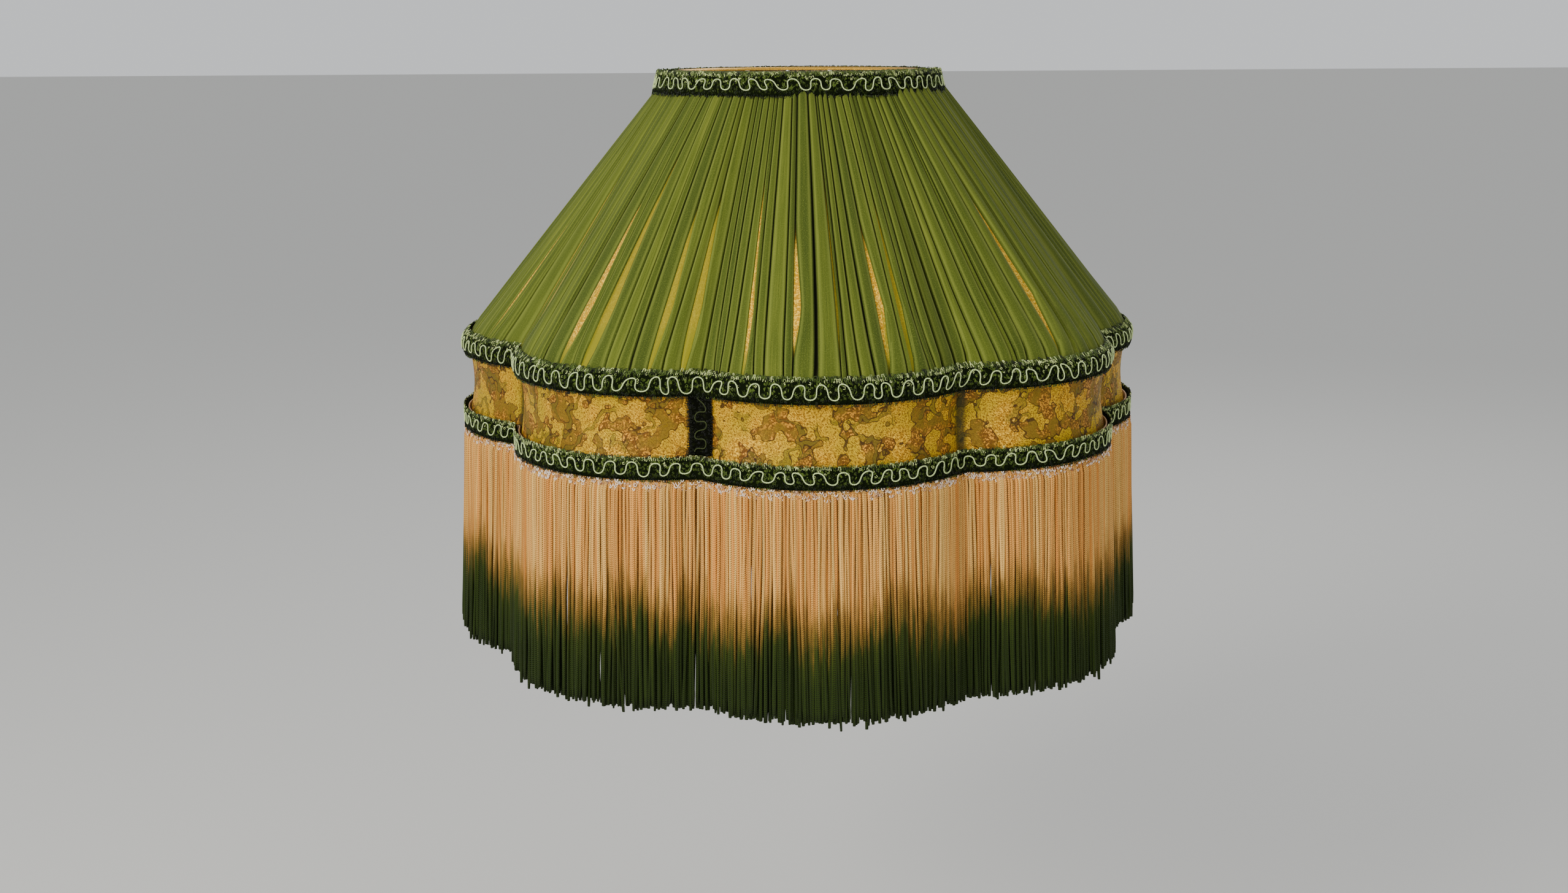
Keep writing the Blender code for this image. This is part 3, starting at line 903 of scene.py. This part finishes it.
class Braid:
    """Gimp braid laid along a line. at(run, across, height) gives places on it, with across
    measured from its middle, up or towards +angle, and height off its back."""

    def __init__(self, name, node, slot, at, length, closed, dusk=0.0):
        self.name, self.node, self.slot, self.at = name, node, slot, at
        self.length, self.closed, self.dusk = length, closed, dusk

    def ground(self):
        """The woven body: a flat bar with rounded, slightly ragged edges."""
        steps = round(self.length / GROUND_STEP)
        run = np.arange(steps + (not self.closed)) * self.length / steps
        across = np.array(GROUND_ACROSS) * (BRAID_WIDTH / 2 - GROUND_INSET)
        points = self.at(run[:, None], across, np.array(GROUND_HEIGHT) * GROUND)
        faces, corners = lattice(points, wrap=self.closed, ring=True)
        uv = np.stack([corners[..., 0] * self.length / steps, corners[..., 1] * GROUND_STEP], -1)
        if not self.closed:
            last = (len(run) - 1) * len(across)
            cap = cap_corners(len(across))
            faces = np.concatenate([faces, cap[:, ::-1], cap + last])
            uv = np.concatenate([uv, np.zeros((2 * len(cap), 4, 2))])
        return points.reshape(-1, 3), faces, uv, {}

    def yarn(self, run, across, height, thickness, tone, sides):
        """Yarns through rows of places on the braid."""
        lines = self.at(run, across, height)
        ahead = np.gradient(lines, axis=1)
        ahead /= np.linalg.norm(ahead, axis=-1, keepdims=True)
        off = self.at(run, across, height + MM) - lines
        beside = np.cross(off, ahead)
        beside /= np.linalg.norm(beside, axis=-1, keepdims=True)
        off = np.cross(ahead, beside)
        reach = np.broadcast_to(thickness / 2, lines.shape[:2])[..., None]
        steps = np.linalg.norm(np.diff(lines, axis=1), axis=-1)
        distance = np.concatenate([np.zeros((len(lines), 1)), np.cumsum(steps, axis=1)], axis=1)
        return tubes(lines, beside * reach, off * reach, sides, distance, {"tone": tone})

    def edge_loops(self, rng, sweep):
        """Small loops that stand along the edges, in two rows above and one below."""
        groups = []
        for side, share, rows in ((1, 1.0, 2), (-1, 0.5, 1)):
            for row in range(rows):
                count = round(round(self.length / LOOP_SPACING) * share)
                start = (np.arange(count) + rng.uniform(-0.35, 0.35, count)) / count * self.length
                inset = LOOP_ROW * row + 0.5 * MM
                base = side * (BRAID_WIDTH / 2 - inset + rng.normal(0, LOOP_SCATTER, count))
                reach = rng.uniform(0.45, 0.85, count) * MM
                tall = rng.uniform(0.7, 1.4, count) * MM
                run = start[:, None] + reach[:, None] * np.cos(sweep)
                run = run + rng.normal(0, LOOP_SCATTER, (count, 1))
                across = base[:, None] + side * tall[:, None] * np.sin(sweep)
                height = GROUND + rng.uniform(-0.3, 0.45, (count, LOOP_POINTS)) * MM
                # Painted shade: the loops along the lower edge are given darker tones.
                tone_with_painted_shade_below = rng.random(count) ** 1.3 if side > 0 else 0.5 * rng.random(count) ** 3
                groups.append((run, across, height, tone_with_painted_shade_below))
        return groups

    def curls(self, rng, sweep):
        """Curls that fill the ground, with painted shade that darkens them towards its lower edge.
        """
        half = BRAID_WIDTH / 2
        count = round(self.length / MM * CURLS_PER_MM)
        start = rng.uniform(0, self.length, count)
        base = half * (1 - 1.9 * rng.random(count) ** 1.15) * 0.95
        turn = sweep * 1.2 + rng.uniform(0, TURN, count)[:, None]
        reach = rng.uniform(0.35, 0.75, count)[:, None] * MM
        run = start[:, None] + reach * np.cos(turn)
        across = base[:, None] + reach * np.sin(turn)
        tall = rng.uniform(0.0, 0.6, count)[:, None] * MM
        height = GROUND + tall * np.sin(np.clip(sweep, 0.3, 2.8))
        # Painted shade: the curls' tone drops towards the lower edge.
        fade = np.clip(0.68 + 0.75 * base / half, 0.05, 1)
        return run, across, height, rng.random(count) ** 1.2 * fade

    def loops(self, rng):
        """All of the braid's small loops and curls."""
        sweep = np.linspace(-0.12, 1.12, LOOP_POINTS) * math.pi
        groups = [*self.edge_loops(rng, sweep), self.curls(rng, sweep)]
        run, across, height, tone = (np.concatenate([g[i] for g in groups]) for i in range(4))
        return self.yarn(run, across, height, LOOP_CORD, tone * (1 - self.dusk), LOOP_SIDES)

    def wave(self, rng):
        """The raised cord that runs in rounded waves, now and then with a loop hanging low."""
        waves = max(3, round(self.length / WAVE_PITCH))
        phase = np.arange(waves * WAVE_POINTS + 1) / WAVE_POINTS
        index = np.arange(waves + 1)
        wander = rng.normal(0, 0.1, waves + 1)
        size = rng.uniform(0.78, 1.08, waves + 1)
        slant = rng.normal(0.0, 0.1, waves + 1)
        hang = np.where(rng.random(waves + 1) < HANGING_WAVES, rng.uniform(0.3, 0.8, waves + 1), 0.0)
        hang[0] = hang[-1] = 0.0
        if self.closed:
            wander[-1], size[-1], slant[-1] = wander[0], size[0], slant[0]
        shift, size, slant, hang = (np.interp(phase, index, x) for x in (wander, size, slant, hang))
        crest = np.cos(phase * TURN)
        run = phase + shift + 0.07 * np.sin(2 * phase * TURN) + slant * crest
        across = WAVE_HEIGHT / 2 * size * crest * (1 + hang * (crest < 0)) + 0.2 * MM
        height = GROUND + WAVE_CORD * 0.55 + 0.15 * MM * np.sin(phase * 2.3)
        height = height + 0.3 * MM * (across < -BRAID_WIDTH * 0.45)
        tone = np.full(1, 0.95 * (1 - self.dusk))
        run = run * self.length / waves
        return self.yarn(run[None], across[None], height[None], WAVE_CORD, tone, WAVE_SIDES)


def ring_braid(name, node, slot, outline, height, back, lean=0.0, bend=(0.0, 0.0), dusk=0.0):
    """A braid round a ring. It leans in towards its top, or bends in by bend above and
    below its middle."""
    angle_at, length = along(outline, back)
    half = BRAID_WIDTH / 2

    def at(run, across, off):
        angle = angle_at(run)
        inward = np.where(across > 0, bend[0], bend[1]) * (across / half) ** 2
        slope = np.where(across > 0, bend[0], -bend[1]) * 2 * np.abs(across) / half**2
        inward = inward + lean * (across / BRAID_WIDTH + 0.5)
        slope = slope + lean / BRAID_WIDTH
        steep = np.sqrt(1 + slope**2)
        radius = outline(angle) + back + off / steep - inward
        return polar(radius, angle, height + across + off * slope / steep)

    return Braid(name, node, slot, at, length, True, dusk)


def seam_strip():
    """The braid over the collar's seam, from the lower braid up to the upper one."""
    low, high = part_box("seam_braid")[0].z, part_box("seam_braid")[1].z

    def at(run, across, off):
        height = low + run
        angle = SEAM_ANGLE - across / CUSP_RADIUS
        radius = scallop(angle) + LACE_OUT + LAYER_GAP + off - waist(height)
        return polar(radius, angle, height)

    return Braid("seam_gimp", "seam_braid", "dark_gimp", at, high - low, False, dusk=0.72)


def make_braids():
    """Each braid as its ground, its small loops and its raised cord."""
    green = (
        gimp_ground("gimp_ground", srgb(10, 16, 3), srgb(72, 88, 34)),
        gimp_yarn("gimp_loops", srgb(8, 15, 2), srgb(76, 98, 26), srgb(226, 240, 158)),
        gimp_yarn("gimp_cord", srgb(74, 98, 44), srgb(136, 162, 88), srgb(196, 214, 148), 0.5),
    )
    dark = (
        gimp_ground("dark_gimp_ground", srgb(7, 8, 3), srgb(20, 24, 8)),
        gimp_yarn("dark_gimp_loops", srgb(6, 7, 3), srgb(26, 32, 10), srgb(70, 84, 28)),
        gimp_yarn("dark_gimp_cord", srgb(26, 32, 12), srgb(66, 76, 32), srgb(100, 112, 50), 0.5),
    )
    outer_low, outer_high = radii("top_braid", top=False), radii("top_braid")
    back = outer_low[0] - TOP_RADIUS
    lean = outer_low[0] - outer_high[0]
    upper_bend = (BRAID_IN - inside("upper_braid"), BRAID_IN - inside("upper_braid", top=False))
    slot = "green_gimp"
    top_outline = circle(TOP_RADIUS)
    braids = [
        ring_braid("top_gimp", "top_braid", slot, top_outline, middle("top_braid").z, back, lean),
        ring_braid("upper_gimp", "upper_braid", slot, scallop, UPPER_Z, BRAID_IN, bend=upper_bend),
        ring_braid("lower_gimp", "lower_braid", slot, scallop, LOWER_Z, BRAID_IN),
        seam_strip(),
    ]
    made = {}
    for number, braid in enumerate(braids):
        rng = np.random.default_rng(BRAID_SEED + number)
        ground, loops, cord = dark if braid.node == "seam_braid" else green
        made[braid.name] = [
            piece(f"{braid.name}_ground", braid.ground(), ground, [braid.node]),
            piece(f"{braid.name}_loops", braid.loops(rng), loops),
            piece(f"{braid.name}_cord", braid.wave(rng), cord),
        ]
    return made


def make_heading():
    """The fringe's woven tape, and the pale loops under the braid that the strands hang by."""
    rng = np.random.default_rng(HEADING_SEED)
    low, high = (corner.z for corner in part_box("fringe_heading"))
    length = along(scallop, HEADING_OUT)[1]
    angle, u = columns_round(LOBES * HEADING_COLUMNS, length)
    share = np.linspace(0, 1, HEADING_ROWS)
    points = polar(scallop(angle) + HEADING_OUT, angle, high + (low - high) * share)
    part = sheet_part(points, u, share * (high - low), wrap=True)
    tape = piece("heading_tape", part, heading_tape(), ["fringe_heading"], HEADING_TAPE)
    braid = ring_braid("heading", None, None, scallop, BRAID_LOW, HEADING_OUT)
    count = round(length / MM * HEADING_LOOPS_PER_MM)
    sweep = np.linspace(0, 1, 5) * math.pi
    start = np.sort(rng.uniform(0, length, count))
    reach = rng.uniform(0.4, 0.9, count)[:, None] * MM
    run = start[:, None] + reach * np.cos(sweep)
    across = -rng.uniform(-0.5, 4.4, count)[:, None] * MM - reach * 1.6 * np.sin(sweep)
    off = rng.uniform(1.6, 2.9, count)[:, None] * MM + 0 * sweep
    yarn = gimp_yarn("heading_loops", srgb(150, 96, 60), srgb(214, 176, 140), srgb(252, 242, 226))
    loops = braid.yarn(run, across, off, HEADING_CORD, rng.random(count) ** 0.5, LOOP_SIDES)
    return [tape, piece("heading_loops", loops, yarn)]


def hanging_lines(rng, offset, loose, phase):
    """A layer's strands: the angle and the place of each point of their centre lines, how
    far down its strand it is, and each strand's length. A few strands stray."""
    angle_at, length = along(scallop, offset)
    count = round(length / STRAND_PITCH)
    share = np.linspace(0, 1, STRAND_ROWS + 1)
    place = (np.arange(count) + rng.uniform(-0.3, 0.3, count) + phase) / count * length
    drop = FRINGE_LENGTH - STRAND_MARGIN + rng.normal(0, STRAND_UNEVEN, count)
    stray = rng.random(count) < STRAY_STRANDS
    drop = drop + np.where(stray, rng.uniform(1, 4, count) * MM, 0)
    swing = rng.normal(0, 0.8 * MM * loose, count)
    swing = swing + np.where(stray, rng.normal(0, 2.5 * MM, count), 0)
    sway = noise(rng, count, range(3, 40, 3)) * 1.2 * MM
    sideways = (swing + sway)[:, None] * share**1.6
    sideways = sideways + 0.25 * MM * np.sin(share * 9 + rng.uniform(0, TURN, count)[:, None])
    outward = rng.normal(0, 0.7 * MM, count)[:, None] * share**1.3 + FRINGE_FLARE * share
    outward = outward + 0.8 * MM * noise(rng, count, range(5, 60, 4))[:, None] * share
    pinned = unit(share / 0.05)
    angle = angle_at(place[:, None] + sideways)
    root = HEADING_OUT + STRAND_ROOT
    radius = scallop(angle) + root + (offset - root) * pinned + outward
    height = FRINGE_TOP + 0.4 * MM - share * drop[:, None]
    return angle, polar(radius, angle, height), share, drop


def fringe_layer(rng, offset, loose, full, phase):
    """A layer of knitted strands, as one part."""
    angle, lines, share, drop = hanging_lines(rng, offset, loose, phase)
    count = len(lines)
    turned = rng.uniform(0, math.pi, count) if loose == 1 else rng.normal(0, 0.35, count)
    facing = turned[:, None] + loose * rng.normal(0, 0.8, count)[:, None] * share
    out = polar(1.0, angle, 0.0)
    side = polar(1.0, angle + math.pi / 2, 0.0)
    sine, cosine = np.sin(facing)[..., None], np.cos(facing)[..., None]
    size = np.where(share > 0.97, 0.8, 1.0) * rng.uniform(0.85, 1.12, count)[:, None] * full
    wide = (side * cosine + out * sine) * (STRAND_WIDTH / 2 * size)[..., None]
    deep = (out * cosine - side * sine) * (STRAND_DEPTH / 2 * size)[..., None]
    marks = {"tone": rng.random(count), "dye": rng.random(count)}
    return tubes(lines, wide, deep, STRAND_SIDES, share * drop[:, None], marks)


def make_fringe():
    """Layers of strands that hang from the tape, below the lower braid."""
    finish = ombre_chainette()
    made = []
    for name, offset, seed, loose, full, replaced in FRINGE_LAYERS:
        rng = np.random.default_rng(seed)
        strands = fringe_layer(rng, offset, loose, full, phase=0.5 * (seed % 2))
        made.append(piece(name, strands, finish, replaced))
    return made


# ---------------- studio


def make_camera():
    """The camera of the photo."""
    data = bpy.data.cameras.new("camera")
    data.lens = CAMERA_LENS
    data.clip_start, data.clip_end = CAMERA_NEAR, CAMERA_FAR
    camera = add_object("camera", data)
    cos_pitch = math.cos(CAMERA_PITCH)
    ahead = (math.sin(CAMERA_YAW) * cos_pitch, math.cos(CAMERA_YAW) * cos_pitch)
    forward = Vector((*ahead, -math.sin(CAMERA_PITCH)))
    level = Vector((math.cos(CAMERA_YAW), -math.sin(CAMERA_YAW), 0))
    upright = level.cross(forward)
    right = level * math.cos(CAMERA_ROLL) + upright * math.sin(CAMERA_ROLL)
    up = upright * math.cos(CAMERA_ROLL) - level * math.sin(CAMERA_ROLL)
    turn = Matrix((right, up, -forward)).transposed().to_4x4()
    camera.matrix_world = Matrix.Translation(CAMERA_PLACE) @ turn
    bpy.context.scene.camera = camera


def make_floor():
    x, y = FLOOR_REACH, FLOOR_REACH
    mesh = bpy.data.meshes.new("floor")
    corners = [(-x, -y, FLOOR_Z), (x, -y, FLOOR_Z), (x, y, FLOOR_Z), (-x, y, FLOOR_Z)]
    mesh.from_pydata(corners, [], [(0, 1, 2, 3)])
    mesh.materials.append(floor_finish())
    floor = add_object("floor", mesh)


def make_lights():
    for name, place, size, power, colour in LIGHTS:
        data = bpy.data.lights.new(name, "AREA")
        data.shape = "DISK"
        data.size, data.energy, data.color = size, power, colour
        light = add_object(name, data)
        light.location = place
        light.rotation_mode = "QUATERNION"
        light.rotation_quaternion = (Vector(place) - LIGHT_TARGET).to_track_quat("Z", "Y")


def make_world():
    world = bpy.data.worlds.new("studio")
    world.use_nodes = True
    background = world.node_tree.nodes["Background"]
    background.inputs["Color"].default_value = WORLD_COLOUR
    background.inputs["Strength"].default_value = WORLD_STRENGTH
    bpy.context.scene.world = world


make_camera()
make_floor()
make_lights()
make_world()
dress_frame()
make_bindings()
gold = make_lining()
make_cover()
lace, lace_flat, lace_held = make_collar(gold)
braids = make_braids()
heading = make_heading()
fringe = make_fringe()
